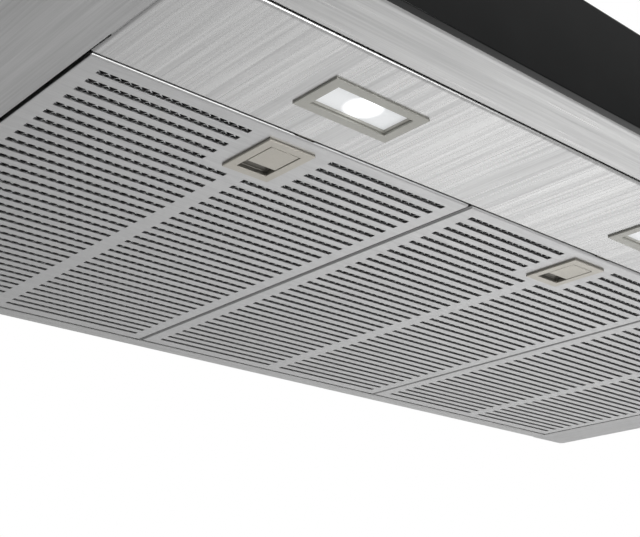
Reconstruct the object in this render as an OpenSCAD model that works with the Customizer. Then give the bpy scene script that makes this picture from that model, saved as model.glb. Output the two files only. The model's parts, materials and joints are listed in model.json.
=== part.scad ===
/* [Body] */
// Width across the two side panels
hood_w = 914; // [780:1:1220]
// Depth of the metal body, from the wall to the front
hood_d = 508; // [470:1:620]
// Height from the underside up to the cabinet
hood_h = 180; // [178:1:240]
// Height of the upright front face
face_h = 62; // [50:1:80]
// Depth of the flat top that meets the cabinet
top_d = 315; // [300:1:340]
// Thickness of the steel sheet
sheet = 1.2; // [0.8:0.1:1.5]
// Outside radius of a sheet bend
bend_r = 2; // [1.8:0.1:3]
// Radius of the two upright rear corners
corner_r = 5; // [3:0.5:9]
// Width of the flat rim under each side panel
rim_w = 51; // [35:1:60]
// Depth of the rim under the rear panel
rear_rim_d = 16; // [14:1:24]
// Depth of the front rail's underside
rail_d = 34.1; // [28:0.1:42]
// Open seam on each side of the light panel
seam = 1.6; // [1.2:0.1:2.5]

/* [Filters] */
// Gap between neighbouring filters
filter_gap = 3.5; // [2:0.1:6]
// Gap between the filters and the rear rim
rim_gap = 1.5; // [1.5:0.1:2.5]
// Height of a filter's folded edge
tray_h = 13; // [12.4:0.1:18]
// Thickness of a filter's face sheet
tray_t = 1; // [0.7:0.1:1.2]
// Width of one air slot
slot_w = 4.2; // [3:0.1:6]
// Spacing of the slot rows
slot_pitch = 10.34; // [8:0.01:14]
// First slot row, behind the filter's front edge
slot_first = 11.9; // [10:0.1:16]
// Plain margin between the slots and the filter's side edge
slot_edge = 10.4; // [6:0.1:16]
// Plain spine between the two columns of slots
spine_w = 12.1; // [8:0.1:20]
// Width kept clear of slots around the latch
latch_clear_w = 57; // [48:1:70]
// Thickness of the folded mesh pack
mesh_h = 9.6; // [8:0.1:9.8]
// How far a filter swings down from its rear hooks, in degrees
filter_swing = 50; // [20:1:50]

/* [Latches] */
// Width of a latch bezel
latch_w = 33; // [31:0.5:40]
// Length of a latch bezel, front to back
latch_l = 43; // [41:0.5:50]
// Latch bezel's front edge, behind the filter's front edge
latch_front = 10; // [7:0.1:14]
// How far a latch bezel stands below the filter
latch_proud = 1.5; // [1.2:0.1:3]
// Width of a latch's recess
recess_w = 21.2; // [18:0.1:26]
// Length of a latch's recess
recess_l = 31.2; // [30:0.1:36]
// Length of the latch slider's face
slider_l = 21.3; // [20:0.1:22]
// Travel of a latch slider
latch_travel = 8; // [5:0.5:8]

/* [Light panel] */
// Depth of the light panel
light_d = 86.8; // [70:0.1:110]
// Width of a lamp bezel
lamp_w = 66; // [60:0.5:90]
// Depth of a lamp bezel
lamp_d = 33.6; // [30:0.1:45]
// Width of a lamp bezel's border
lamp_border = 6; // [4:0.1:8]
// How far a lamp bezel stands below the light panel
lamp_proud = 1.2; // [0.8:0.1:2]

/* [Controls] */
// Thickness of the black glass fascia
glass_t = 5; // [4:0.5:8]
// Radius of a push button
button_r = 7; // [5:0.5:8]
// Spacing of the push buttons
button_pitch = 36; // [22:1:44]
// Travel of a push button
button_travel = 2; // [1:0.1:2.4]

/* [Blower and duct] */
// Length of the rectangular duct collar, along the hood
collar_w = 254; // [240:1:300]
// Depth of the rectangular duct collar
collar_d = 82; // [82:1:92]
// Height of the duct collar above the cabinet face
collar_h = 24; // [18:1:40]
// Radius of an impeller
impeller_r = 50; // [44:1:52]
// Length of an impeller
impeller_l = 86; // [60:1:88]
// Number of blades on an impeller
blade_count = 36; // [24:2:48]
// Gap between an impeller and the scroll's cut-off
cutoff_gap = 10; // [6:1:10]
// How much the scroll widens over its turn
scroll_growth = 20; // [14:1:20]
// Radius of the motor case
motor_r = 42; // [34:1:44]
// Length of the motor case
motor_l = 52; // [44:1:52]
// Radius of the fan shaft
shaft_r = 4; // [3:0.5:6]

/* [Hidden] */
$fn = 48;
cells = 3;
buttons = 5;
side_gap = 1;
wall_front = -hood_d / 2;
wall_rear = hood_d / 2;
half_w = hood_w / 2;
under_z = -hood_h;
face_top_z = under_z + face_h;
top_front_y = wall_rear - top_d;
slope_run = top_front_y - wall_front;
slope_drop = sheet * sqrt(slope_run * slope_run + face_top_z * face_top_z) / slope_run;
inner_w = hood_w - 2 * sheet;
rear_in_y = wall_rear - sheet;
wrap = 14;
fit = 0.2;

// Underside layout, from the rear wall to the front
cell_w = (hood_w - 2 * (rim_w + side_gap)) / cells;
filter_w = cell_w - filter_gap;
filter_rear_y = wall_rear - rear_rim_d - rim_gap;
light_front_y = wall_front + rail_d + seam;
light_rear_y = light_front_y + light_d;
filter_front_y = light_rear_y + seam;
filter_d = filter_rear_y - filter_front_y;
filter_mid_y = (filter_rear_y + filter_front_y) / 2;
lip_h = 14;

// Rolled edge of the hook rail, which the filters hang from and turn about
bead_r = 1.6;
hinge_gap = 0.05;
hook_t = 1.2;
hook_w = 26;
hook_x = 80;
pivot_y = filter_rear_y + 4.5;
pivot_z = under_z + sheet + bead_r + fit;

// T-shaped divider bars, one in each gap between two filters
divider_t = filter_gap - 1.1;
divider_w = 20;
divider_z = under_z + tray_h + 2 * fit;

// Slot rows and mesh
slot_out = filter_w / 2 - slot_edge;
slot_rows = floor((filter_d - 2 * slot_first) / slot_pitch) + 1;
short_rows = ceil((latch_front + latch_l + 2 + slot_w / 2 - slot_first) / slot_pitch);
mesh_z = under_z + tray_t + fit;
mesh_t = 0.4;
mesh_rim = 2;
mesh_layers = 3;
back_t = 1;
back_rim = 15;

// Latch, measured from its bezel and recess
latch_y = filter_front_y + latch_front;
recess_y = latch_y + (latch_l - recess_l) / 2;
recess_end_y = recess_y + recess_l;
latch_face_z = under_z - latch_proud;
house_wall = 1.4;
pocket_depth = 3;
pocket_deep = 5.5;
recess_top_z = latch_face_z + 6.1;
house_top_z = recess_top_z + 1.2;
slider_gap = 0.6;
slider_t = 1.6;
slider_y = recess_y + slider_gap;
slider_end_y = slider_y + slider_l;
tongue_w = 12;
tongue_t = 1.8;
tongue_z = under_z + tray_t + 0.4;
tongue_end_y = light_rear_y + 0.3;
web_l = 4.8;
wing_l = 9;
wing_t = 1;
post_w = 3;
post_l = 2.6;
spring_r = 1.8;
spring_wire = 0.25;
spring_turns = 7;
bay_wall = 1;
bay_h = 4.4;
spring_z = house_top_z + 2.4;
post_rear_y = slider_y + web_l;
stop_y = post_rear_y + 12.4;

// Lamps
lamp_y = (light_front_y + light_rear_y) / 2;
lamp_hole_w = lamp_w - 6;
lamp_hole_d = lamp_d - 6;
lamp_face_z = under_z - lamp_proud;
lens_recess = 3;
lens_t = 2.5;
lens_z = lamp_face_z + lens_recess;
collar_up = 10;
module_h = 12;

// Controls
button_z = under_z + face_h / 2;
button_gap = 0.3;
button_stand = 1.4;
window_w = (buttons - 1) * button_pitch + 2 * button_r + 14;
window_h = 2 * button_r + 10;
switch_h = 4;
button_flange = 1.6;
stem_r = 2.5;
stem_l = 4;
button_back_y = wall_front + sheet + 2;
board_y = button_back_y + stem_l + button_travel + fit + switch_h;
board_w = window_w + 24;
board_h = window_h + 4;
board_t = 1.6;

// Blower, hung from the top and discharging upwards
blower_y = wall_rear - 144;
blower_z = -84;
scroll_wall = 1;
scroll_w = (collar_w - motor_l - 2) / 2;
scroll_in = motor_l / 2 + 1;
flange_t = 1;
flange_z = -sheet - flange_t;
scroll_top = flange_z - blower_z;
inlet_r = impeller_r - 8;
blade_d = 8.4;
impeller_x = scroll_in + 6;
motor_wall = 1.5;
stator_in = motor_r - 17;
duct_y = blower_y + scroll_r(360) / 2 + 0.5;
opening_w = collar_w - 6;
opening_d = scroll_r(360) - 5;
collar_t = 0.8;
collar_flange = 15;
flap_gap = 1;
flap_t = 0.8;
flap_pin_r = 1.5;
flap_y = duct_y - collar_d / 2 + collar_t + flap_pin_r + flap_gap;
flap_z = 5;

// Electrical parts under the top
box_x = 330;
box_w = 90;
box_d = 62;
box_h = 45;
knockout_r = 11.1;
knockout_x = box_x + box_w / 2;
driver_x = -250;
driver_y = top_front_y + 61;
drop_y = top_front_y + 11;
cap_x = 215;
cap_y = top_front_y + 81;
cap_l = 50;
trunk_y = wall_rear - 24;
trunk_z = -12;
lamp_wire_z = under_z + 30;
loom_r = 3;
screw_r = 1.9;
screw_hole_r = 2.1;
cabinet_x = half_w - 57;
cabinet_y = [top_front_y + 43, wall_rear - 42];

function cell_x(i) = (i - (cells - 1) / 2) * cell_w;
function button_x(i) = (i - (buttons - 1) / 2) * button_pitch;
function scroll_r(a) = impeller_r + cutoff_gap + scroll_growth * (a - 90) / 270;
function scroll_outline(wall) = concat(
    [[wall, scroll_r(90) - wall]],
    [for (a = [96 : 6 : 360]) (scroll_r(a) - wall) * [cos(a), sin(a)]],
    [[scroll_r(360) - wall, scroll_top + wall], [wall, scroll_top + wall]]);

// ---- Placing and section helpers ----

// A profile drawn in Y and Z, extruded along X
module along_x(x0, len) {
    translate([x0, 0, 0]) rotate([90, 0, 90]) linear_extrude(len) children();
}

// A profile drawn in X and Z, extruded along Y
module along_y(y0, len) {
    translate([0, y0 + len, 0]) rotate([90, 0, 0]) linear_extrude(len) children();
}

// A rectangular block between two corners
module block(lo, hi) {
    translate(lo) cube(hi - lo);
}

// A rod along X on the fan's axis
module fan_rod(x0, len, r) {
    translate([x0, blower_y, blower_z]) rotate([0, 90, 0]) cylinder(h = len, r = r);
}

// A quarter ring of bent sheet, with its corner at the origin
module bend_ring(r, t) {
    translate([r, r]) intersection() {
        difference() {
            circle(r);
            circle(r - t);
        }
        translate([-r, -r]) square(r);
    }
}

// Sheet bent through a right angle: one leg along X, one along Y
module angle_section(along, up, r, t) {
    translate([r, 0]) square([along - r, t]);
    translate([0, r]) square([t, up - r]);
    bend_ring(r, t);
}

// Section with a flat base, upright sides and rounded lower corners
module trough(w, h, r) {
    translate([-w / 2, r]) square([w, h - r]);
    translate([-w / 2 + r, 0]) square([w - 2 * r, r]);
    for (side = [-1, 1]) translate([side * (w / 2 - r), r]) circle(r);
}

module pan(w, d, h, r) {
    intersection() {
        along_y(-d / 2, d) trough(w, h, r);
        along_x(-w / 2, w) trough(d, h, r);
    }
}

// Sheet folded up on all four sides
module tray(w, d, h, t, r) {
    difference() {
        pan(w, d, h, r);
        translate([0, 0, t]) pan(w - 2 * t, d - 2 * t, h, r - t);
    }
}

// Outline of the hood seen from the side, between two planes across it
module side_outline() {
    polygon([
        [wall_front, under_z], [wall_rear, under_z], [wall_rear, 0],
        [top_front_y, 0], [wall_front, face_top_z]
    ]);
}

// ---- Shell ----

module top_panel() {
    color("silver") difference() {
        along_x(-inner_w / 2, inner_w) polygon([
            [wall_front, face_top_z], [top_front_y, 0], [rear_in_y, 0],
            [rear_in_y, -sheet], [top_front_y, -sheet], [top_front_y, -slope_drop],
            [wall_front, face_top_z - slope_drop]
        ]);
        translate([0, duct_y, 0])
            cube([collar_w + 2 * fit, collar_d + 2 * fit, 4 * sheet], center = true);
        for (x = [-cabinet_x, cabinet_x], y = cabinet_y)
            translate([x, y, -2 * sheet]) cylinder(h = 4 * sheet, r = 3);
        translate([knockout_x, wall_rear - 49, -2 * sheet]) cylinder(h = 4 * sheet, r = knockout_r);
        collar_screw_places() translate([0, 0, -2 * sheet]) cylinder(h = 4 * sheet, r = screw_hole_r);
        for (side = [-1, 1]) translate([side * half_w, wall_rear, 0])
            cube([2 * corner_r, 2 * corner_r, 4 * sheet], center = true);
    }
}

// The left-hand panel; the right-hand one is its mirror image
module side_panel() {
    rim_in = half_w - rim_w;
    intersection() {
        union() {
            translate([-half_w, wall_rear, under_z]) mirror([0, 1, 0])
                linear_extrude(hood_h) angle_section(wrap, hood_d, corner_r, sheet);
            translate([0, 0, under_z]) linear_extrude(sheet) difference() {
                translate([-half_w, light_front_y]) square([rim_w, wall_rear - light_front_y]);
                translate([-half_w, wall_rear - corner_r]) difference() {
                    square(corner_r);
                    translate([corner_r, 0]) circle(corner_r);
                }
            }
        }
        along_x(-half_w - 1, hood_w) side_outline();
    }
}

module side_panel_left() {
    color("gainsboro") side_panel();
}

module side_panel_right() {
    color("gainsboro") mirror([1, 0, 0]) side_panel();
}

module rear_panel() {
    wall_half = half_w - wrap;
    rim_half = half_w - rim_w - 0.4;
    color("lightgray") difference() {
        union() {
            block([-wall_half, rear_in_y, under_z + sheet], [wall_half, wall_rear, 0]);
            along_x(-rim_half, 2 * rim_half) translate([wall_rear, under_z]) mirror([1, 0])
                angle_section(rear_rim_d, 2 * bend_r, bend_r, sheet);
        }
        translate([knockout_x, rear_in_y - 1, -32]) rotate([-90, 0, 0])
            cylinder(h = 3 * sheet, r = knockout_r);
    }
}

// Front face and rail, one sheet folded into a channel
module front_rail() {
    color("silver") difference() {
        along_x(-inner_w / 2, inner_w) {
            translate([wall_front, under_z]) angle_section(
                rail_d - bend_r, face_h - slope_drop, bend_r, sheet);
            translate([wall_front + rail_d, under_z]) mirror([1, 0])
                angle_section(bend_r + 1, lip_h, bend_r, sheet);
        }
        block([-window_w / 2, wall_front - 1, button_z - window_h / 2],
              [window_w / 2, wall_front + 2 * sheet, button_z + window_h / 2]);
    }
}

module light_panel() {
    half = cells * cell_w / 2;
    color("whitesmoke") difference() {
        union() {
            translate([0, lamp_y, under_z]) tray(2 * half, light_d, lip_h, sheet, bend_r);
            for (side = [-1, 1]) translate([side * (half + 6), lamp_y, under_z + 1.5 * sheet])
                cube([16, 50, sheet], center = true);
        }
        for (i = [0 : cells - 1]) {
            translate([cell_x(i), lamp_y, under_z]) cube([lamp_hole_w, lamp_hole_d, 4 * sheet], center = true);
            block([cell_x(i) - tongue_w / 2 - 1, light_rear_y - 2 * sheet, tongue_z - 1],
                  [cell_x(i) + tongue_w / 2 + 1, light_rear_y + 1, tongue_z + tongue_t + 1]);
        }
        stud_places() cylinder(h = 2 * lip_h, r = screw_hole_r, center = true);
    }
}

// Strip with a rolled front edge that the filters hook over
module hook_rail() {
    half = cells * cell_w / 2 - 1;
    color("darkgray") along_x(-half, 2 * half) {
        translate([pivot_y, pivot_z]) circle(bead_r);
        translate([pivot_y, pivot_z - sheet / 2]) square([rear_in_y - pivot_y, sheet]);
        translate([rear_in_y - sheet, pivot_z]) square([sheet, lip_h]);
    }
}

// Bar between two filters, from the light panel's rear wall to the hook rail's upright
module divider(i) {
    x = (i + 1 - cells / 2) * cell_w;
    color("darkgray") union() {
        block([x - divider_t / 2, light_rear_y, under_z + fit],
              [x + divider_t / 2, pivot_y - bead_r - 1, divider_z + sheet]);
        block([x - divider_w / 2, light_rear_y, divider_z],
              [x + divider_w / 2, rear_in_y - sheet, divider_z + sheet]);
    }
}

// ---- Controls ----

module glass_fascia() {
    color([0.05, 0.05, 0.06]) difference() {
        block([-half_w, wall_front - glass_t, under_z], [half_w, wall_front, face_top_z]);
        for (i = [0 : buttons - 1]) translate([button_x(i), wall_front + 1, button_z])
            rotate([90, 0, 0]) cylinder(h = glass_t + 2, r = button_r + button_gap);
    }
}

module button(i) {
    color("lightsteelblue") translate([button_x(i), 0, button_z]) rotate([-90, 0, 0]) {
        translate([0, 0, wall_front - glass_t - button_stand])
            cylinder(h = button_back_y - wall_front + glass_t + button_stand, r = button_r);
        translate([0, 0, button_back_y - button_flange]) cylinder(h = button_flange, r = button_r + 2);
        translate([0, 0, button_back_y - 1]) cylinder(h = stem_l + 1, r = stem_r);
    }
}

module switch_board() {
    post_x = window_w / 2 + 6;
    color("seagreen") {
        block([-board_w / 2, board_y, button_z - board_h / 2],
              [board_w / 2, board_y + board_t, button_z + board_h / 2]);
        for (i = [0 : buttons - 1])
            block([button_x(i) - 6, board_y - switch_h, button_z - 6],
                  [button_x(i) + 6, board_y + 0.1, button_z + 6]);
        for (side = [-1, 1]) translate([side * post_x, board_y + 0.1, button_z])
            rotate([90, 0, 0]) cylinder(h = board_y + 0.1 - wall_front - sheet, r = 3);
    }
}

// ---- Lamps ----

module lamp_bezel(i) {
    color("tan") translate([cell_x(i), lamp_y, 0]) difference() {
        union() {
            translate([0, 0, lamp_face_z + lamp_proud / 2]) cube([lamp_w, lamp_d, lamp_proud], center = true);
            translate([0, 0, under_z + collar_up / 2 - 0.1])
                cube([lamp_hole_w - 2 * fit, lamp_hole_d - 2 * fit, collar_up + 0.2], center = true);
        }
        translate([0, 0, under_z]) cube([lamp_w - 2 * lamp_border - 1, lamp_d - 2 * lamp_border + 0.6,
                                         4 * collar_up], center = true);
    }
}

module lamp_lens(i) {
    color("white") translate([cell_x(i), lamp_y, lens_z + lens_t / 2])
        cube([lamp_w - 2 * lamp_border - 1 - 2 * fit, lamp_d - 2 * lamp_border + 0.6 - 2 * fit, lens_t],
             center = true);
}

// Light source with a finned back, seated on the bezel's collar
module lamp_module(i) {
    seat_z = under_z + collar_up;
    lens_top = lens_z + lens_t;
    color("dimgray") translate([cell_x(i), lamp_y, 0]) {
        translate([0, 0, (lens_top + seat_z) / 2])
            cube([lamp_w - 2 * lamp_border - 2, lamp_d - 2 * lamp_border - 0.4, seat_z - lens_top], center = true);
        translate([0, 0, seat_z + 2]) cube([lamp_w, lamp_d - 4, 4], center = true);
        for (k = [-4 : 4]) translate([k * 6.5, 0, seat_z + module_h / 2])
            cube([1.6, lamp_d - 4, module_h], center = true);
    }
}

// ---- Filters ----

module slot_pattern() {
    for (row = [0 : slot_rows - 1]) {
        slot_in = row < short_rows ? latch_clear_w / 2 : spine_w / 2;
        for (x = [slot_in, -slot_out])
            translate([x, filter_front_y + slot_first + row * slot_pitch - slot_w / 2])
                square([slot_out - slot_in, slot_w]);
    }
}

// Roof over the rolled edge, with a lip down behind it
module hook_section() {
    inner = bead_r + hinge_gap;
    outer = inner + hook_t;
    translate([pivot_y, pivot_z]) {
        translate([filter_rear_y - tray_t - pivot_y + 0.2, inner])
            square([pivot_y - filter_rear_y + tray_t - 0.2, hook_t]);
        intersection() {
            difference() {
                circle(outer);
                circle(inner);
            }
            polygon([[0, 0], [0, outer], [outer, outer], [outer, outer * tan(35)]]);
        }
    }
}

module filter_face(i) {
    color("lightgray") translate([cell_x(i), 0, 0]) difference() {
        union() {
            translate([0, filter_mid_y, under_z]) tray(filter_w, filter_d, tray_h, tray_t, bend_r);
            for (side = [-1, 1]) along_x(side * hook_x - hook_w / 2, hook_w) hook_section();
        }
        translate([0, 0, under_z - tray_t]) linear_extrude(3 * tray_t) slot_pattern();
        block([-recess_w / 2 - house_wall - fit, recess_y - house_wall - fit, under_z - 1],
              [recess_w / 2 + house_wall + fit, recess_end_y + house_wall + fit, under_z + 2 * tray_t]);
        block([-tongue_w / 2 - 1, filter_front_y - 1, tongue_z - 0.4],
              [tongue_w / 2 + 1, filter_front_y + 2 * tray_t, tongue_z + tongue_t + 1]);
    }
}

// Layers of expanded sheet in a crimped rim, cut out round the latch
module filter_mesh(i) {
    half_x = filter_w / 2 - tray_t - 0.6;
    front = filter_front_y + tray_t + 0.6;
    rear = filter_rear_y - tray_t - 0.6;
    house_x = recess_w / 2 + house_wall + 1;
    step = (mesh_h - mesh_t) / (mesh_layers - 1);
    color("gray") translate([cell_x(i), 0, 0]) difference() {
        union() {
            difference() {
                block([-half_x, front, mesh_z], [half_x, rear, mesh_z + mesh_h]);
                block([-half_x + mesh_rim, front + mesh_rim, mesh_z - 1],
                      [half_x - mesh_rim, rear - mesh_rim, mesh_z + mesh_h + 1]);
            }
            for (k = [0 : mesh_layers - 1])
                block([-half_x + 1, front + 1, mesh_z + k * step],
                      [half_x - 1, rear - 1, mesh_z + k * step + mesh_t]);
        }
        block([-house_x, recess_y - house_wall - 1, mesh_z - 1],
              [house_x, recess_end_y + house_wall + 1, mesh_z + mesh_h + 1]);
        block([-tongue_w / 2 - 2, front - 1, mesh_z - 1],
              [tongue_w / 2 + 2, recess_y, mesh_z + mesh_h + 1]);
    }
}

// Frame that holds the mesh down in the tray, with one cross bar
module filter_back(i) {
    half_x = filter_w / 2 - tray_t - fit;
    half_y = filter_d / 2 - tray_t - fit;
    color("darkgray") translate([cell_x(i), filter_mid_y, mesh_z + mesh_h]) linear_extrude(back_t)
        difference() {
            square([2 * half_x, 2 * half_y], center = true);
            for (side = [-1, 1]) translate([0, side * half_y / 2])
                square([2 * (half_x - back_rim), half_y - 1.5 * back_rim], center = true);
        }
}

// ---- Latches ----

module latch_bezel(i) {
    half_r = recess_w / 2;
    house_x = half_r + house_wall;
    color("wheat") translate([cell_x(i), 0, 0]) difference() {
        union() {
            block([-latch_w / 2, latch_y, latch_face_z], [latch_w / 2, latch_y + latch_l, under_z]);
            block([-house_x, recess_y - house_wall, under_z - 0.1],
                  [house_x, recess_end_y + house_wall, house_top_z]);
            block([-post_w / 2 - fit - bay_wall, recess_y - house_wall, house_top_z - 0.1],
                  [post_w / 2 + fit + bay_wall, stop_y + bay_wall, house_top_z + bay_h]);
        }
        // Recess, with the floor of the finger pocket sloping down to its rear edge
        along_x(-half_r, recess_w) polygon([
            [recess_y, latch_face_z - 1], [recess_end_y, latch_face_z - 1],
            [recess_end_y, latch_face_z + pocket_depth],
            [slider_end_y, latch_face_z + pocket_deep],
            [slider_end_y - 4, recess_top_z], [recess_y, recess_top_z]
        ]);
        // Way out for the tongue, grooves for the wings, slot and bay for the spring
        block([-tongue_w / 2 - 0.4, recess_y - house_wall - 1, tongue_z - 0.3],
              [tongue_w / 2 + 0.4, recess_y + 1, tongue_z + tongue_t + 0.4]);
        block([-half_r - 0.7, recess_y, tongue_z], [half_r + 0.7, recess_y + wing_l + latch_travel + 1,
              tongue_z + wing_t + 0.4]);
        block([-post_w / 2 - fit, recess_y, recess_top_z - 1],
              [post_w / 2 + fit, post_rear_y + latch_travel + fit, house_top_z + bay_h + 1]);
        block([-spring_r - spring_wire - 0.15, recess_y, house_top_z], [spring_r + spring_wire + 0.15, stop_y,
              house_top_z + bay_h + 1]);
    }
}

// Sliding face with its web, guide wings, tongue and spring post
module latch_slider(i) {
    half_s = recess_w / 2 - slider_gap;
    face_z = latch_face_z + 0.2;
    color("burlywood") translate([cell_x(i), 0, 0]) {
        block([-half_s, slider_y, face_z], [half_s, slider_end_y, face_z + slider_t]);
        block([-tongue_w / 2, slider_y, face_z], [tongue_w / 2, slider_y + web_l, tongue_z + tongue_t]);
        block([-tongue_w / 2, tongue_end_y, tongue_z], [tongue_w / 2, slider_y + web_l, tongue_z + tongue_t]);
        block([-recess_w / 2 - 0.4, slider_y, tongue_z + 0.2],
              [recess_w / 2 + 0.4, slider_y + wing_l, tongue_z + 0.2 + wing_t]);
        block([-post_w / 2, post_rear_y - post_l, tongue_z],
              [post_w / 2, post_rear_y, house_top_z + bay_h - 0.3]);
    }
}

// Centre line of a coil about the Y axis, from 0 to 1
function coil_at(t, len) = [
    spring_r * cos(360 * spring_turns * t), spring_wire + t * (len - 2 * spring_wire),
    spring_r * sin(360 * spring_turns * t)
];

module latch_spring(i) {
    sides = 6;
    rings = 12 * spring_turns;
    len = stop_y - post_rear_y - 2 * 0.05;
    points = [for (k = [0 : rings]) for (s = [0 : sides - 1])
        let (a = 360 * spring_turns * k / rings, b = 360 * s / sides, c = coil_at(k / rings, len))
        c + spring_wire * [cos(b) * cos(a), sin(b), cos(b) * sin(a)]];
    faces = concat(
        [[for (s = [0 : sides - 1]) s]],
        [for (k = [0 : rings - 1]) for (s = [0 : sides - 1])
            [k * sides + s, (k + 1) * sides + s, (k + 1) * sides + (s + 1) % sides, k * sides + (s + 1) % sides]],
        [[for (s = [sides - 1 : -1 : 0]) rings * sides + s]]);
    color("steelblue") translate([cell_x(i), post_rear_y + 0.05, spring_z])
        polyhedron(points, faces, convexity = 6);
}

// ---- Blower ----

// The right-hand scroll; the left-hand one is its mirror image
module scroll() {
    difference() {
        union() {
            along_x(scroll_in, scroll_w) translate([blower_y, blower_z]) polygon([
                for (p = scroll_outline(0)) [p[0], min(p[1], scroll_top)]]);
            fan_rod(scroll_in + scroll_w - 1, 5, inlet_r + 2);
        }
        along_x(scroll_in + scroll_wall, scroll_w - 2 * scroll_wall)
            translate([blower_y, blower_z]) polygon(scroll_outline(scroll_wall));
        fan_rod(scroll_in + scroll_w / 2, scroll_w, inlet_r);
        fan_rod(scroll_in - 1, 4, impeller_r / 2);
    }
}

module scroll_left() {
    color("lightslategray") mirror([1, 0, 0]) scroll();
}

module scroll_right() {
    color("lightslategray") scroll();
}

// Squirrel cage: back disc and hub at the motor side, end ring at the inlet
module impeller() {
    blade_r = impeller_r - blade_d / 2 + 0.4;
    difference() {
        union() {
            fan_rod(impeller_x, 2, impeller_r);
            fan_rod(impeller_x, 22, shaft_r + 5);
            difference() {
                fan_rod(impeller_x + impeller_l - 3, 3, impeller_r);
                fan_rod(impeller_x + impeller_l - 4, 5, impeller_r - 7);
            }
            for (k = [0 : blade_count - 1])
                translate([impeller_x + 1, blower_y, blower_z]) rotate([360 * k / blade_count, 0, 0])
                    translate([0, blade_r, 0]) rotate([38, 0, 0]) translate([0, -blade_d / 2, -0.4])
                        cube([impeller_l - 2.5, blade_d, 0.8]);
        }
        fan_rod(impeller_x - 1, 30, shaft_r);
    }
}

module impeller_left() {
    color("slategray") mirror([1, 0, 0]) impeller();
}

module impeller_right() {
    color("slategray") impeller();
}

module motor_case() {
    color("dimgray") difference() {
        fan_rod(-motor_l / 2, motor_l, motor_r);
        fan_rod(-motor_l / 2 + motor_wall, motor_l - 2 * motor_wall, motor_r - motor_wall);
        fan_rod(-motor_l, 2 * motor_l, shaft_r + 0.05);
    }
}

module motor_stator() {
    color("peru") difference() {
        fan_rod(-16, 32, motor_r - motor_wall);
        fan_rod(-17, 34, stator_in);
    }
}

// Through shaft with the motor's rotor core on it
module fan_shaft() {
    half = impeller_x + 24;
    color("gainsboro") {
        fan_rod(-half, 2 * half, shaft_r);
        fan_rod(-15, 30, stator_in - 0.6);
    }
}

// Strap round the motor case, on two webs from a plate under the collar's bridge
module motor_bracket() {
    strap_t = 1.6;
    half = 13;
    plate_z = flange_z - 1.6;
    color("lightgray") difference() {
        union() {
            fan_rod(-half, 2 * half, motor_r + strap_t);
            for (y = [blower_y - 13, blower_y + 11])
                block([-half, y, blower_z + motor_r - 4], [half, y + 2, plate_z + 0.1]);
            block([-24, blower_y - 13, plate_z], [24, blower_y + 27, flange_z]);
        }
        fan_rod(-half - 1, 2 * half + 2, motor_r);
        bracket_stud_places() cylinder(h = 20, r = screw_hole_r, center = true);
    }
}

module capacitor() {
    color("whitesmoke") {
        translate([cap_x, cap_y, -18]) rotate([-90, 0, 0]) cylinder(h = cap_l, r = 15);
        block([cap_x - 8, cap_y + 18, -4], [cap_x + 8, cap_y + 32, -sheet]);
    }
}

// ---- Duct ----

module collar_screw_places() {
    for (x = [-1, 1], y = [-1, 1])
        translate([x * (collar_w / 2 + 8), duct_y + y * (collar_d / 2 - 8), 0]) children();
}

// Collar rising through the top from a flange under it, with a bridge between the two outlets
module duct_collar() {
    outlet_w = (opening_w - motor_l) / 2;
    color("silver") difference() {
        union() {
            translate([0, duct_y, flange_z]) linear_extrude(flange_t) difference() {
                square([collar_w + 2 * collar_flange, collar_d + 2 * collar_flange], center = true);
                for (side = [-1, 1]) translate([side * (motor_l + outlet_w) / 2, 0])
                    square([outlet_w, opening_d], center = true);
            }
            translate([0, duct_y, flange_z]) linear_extrude(collar_h - flange_z) difference() {
                square([collar_w, collar_d], center = true);
                square([collar_w - 2 * collar_t, collar_d - 2 * collar_t], center = true);
            }
        }
        translate([-collar_w, flap_y, flap_z]) rotate([0, 90, 0])
            cylinder(h = 2 * collar_w, r = flap_pin_r + 0.05);
        collar_screw_places() cylinder(h = 10, r = screw_hole_r, center = true);
    }
}

// Back-draught flap on its long pivot pin
module damper_flap() {
    half = collar_w / 2 - collar_t - flap_gap;
    far = duct_y + collar_d / 2 - collar_t - flap_gap;
    color("gainsboro") {
        translate([-collar_w / 2 + 0.1, flap_y, flap_z]) rotate([0, 90, 0])
            cylinder(h = collar_w - 0.2, r = flap_pin_r);
        block([-half, flap_y, flap_z - flap_t / 2], [half, far, flap_z + flap_t / 2]);
    }
}

// ---- Electrical parts ----

module junction_box() {
    y0 = rear_in_y - box_d;
    color("darkgray") difference() {
        block([box_x, y0, -sheet - box_h], [box_x + box_w, rear_in_y, -sheet]);
        block([box_x + 1, y0 + 1, -sheet - box_h - 1], [box_x + box_w - 1, rear_in_y + 1, 1]);
        translate([box_x - 1, trunk_y, trunk_z]) rotate([0, 90, 0]) cylinder(h = 4, r = loom_r + 0.6);
    }
    color("darkgray") difference() {
        for (x = [box_x + 0.5, box_x + box_w - 9])
            block([x, y0 + 0.5, -sheet - box_h], [x + 8.5, y0 + 9, -sheet - box_h + 10]);
        cover_screw_places() cylinder(h = 40, r = screw_r + 0.05, center = true);
    }
}

module cover_screw_places() {
    for (x = [box_x + 5, box_x + box_w - 5])
        translate([x, rear_in_y - box_d + 5, -sheet - box_h]) children();
}

module junction_cover() {
    color("lightgray") difference() {
        block([box_x, rear_in_y - box_d, -sheet - box_h - 1], [box_x + box_w, rear_in_y, -sheet - box_h]);
        cover_screw_places() cylinder(h = 10, r = screw_hole_r, center = true);
    }
}

module terminal_block() {
    color("ivory") difference() {
        block([box_x + 22, trunk_y - 8, -18], [box_x + 62, trunk_y + 8, -sheet]);
        for (k = [0 : 2]) translate([box_x + 30 + 12 * k, trunk_y, -19]) cylinder(h = 5, r = 2.5);
    }
}

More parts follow.
